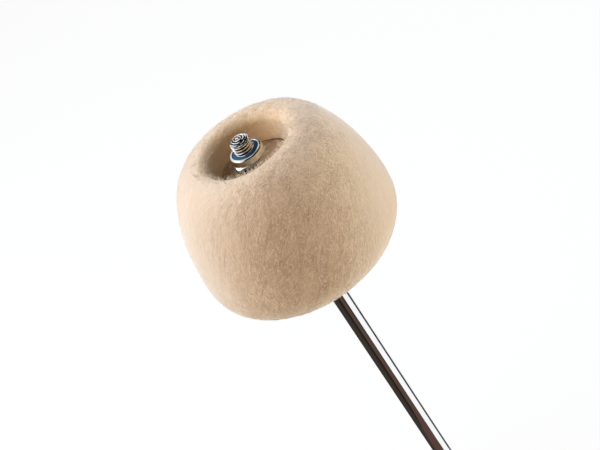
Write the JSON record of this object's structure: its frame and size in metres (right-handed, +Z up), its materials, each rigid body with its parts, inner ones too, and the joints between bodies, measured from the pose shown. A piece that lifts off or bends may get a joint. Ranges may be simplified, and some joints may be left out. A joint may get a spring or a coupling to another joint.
{
  "type": "bass drum beater",
  "caption": "Bass drum beater: turned felt head with a recessed crown, clamped between wide washers by a nylon lock nut on the threaded end of a bright steel rod.",
  "frame": {"origin": "centre of the rod's lower end, which the pedal's clamp holds", "axes": "+Z up the rod towards the felt head; X and Y across it, with the spring washer's split towards +X"},
  "size_m": [0.0846, 0.0846, 0.22],
  "materials": {
    "rod_chrome": "polished",
    "plated_steel": "satin",
    "wool_felt": "matte",
    "blue_nylon": "satin"
  },
  "bodies": {
    "rod_set": {"shaft": "rod_chrome", "lower_nut": "plated_steel", "spring_washer": "plated_steel", "lower_washer": "plated_steel", "upper_washer": "plated_steel"},
    "head": {"felt_head": "wool_felt"},
    "insert": {"nylon_insert": "blue_nylon"},
    "nut": {"lock_nut": "plated_steel"}
  },
  "joints": [
    {"name": "head_turn", "type": "hinge", "parent": "rod_set", "child": "head", "pos_m": [0, 0, 0.1557], "axis": [0, 0, 1], "continuous": true},
    {"name": "nut_lift", "type": "slide", "parent": "rod_set", "child": "insert", "axis": [0, 0, 1], "range_m": [0, 0.0075]},
    {"name": "nut_turn", "type": "hinge", "parent": "insert", "child": "nut", "pos_m": [0, 0, 0.2043], "axis": [0, 0, 1], "range_deg": [0, 2160]}
  ],
  "couplings": [
    {"joint": "nut_lift", "follows": "nut_turn", "m_per_rad": 0.00019894}
  ]
}
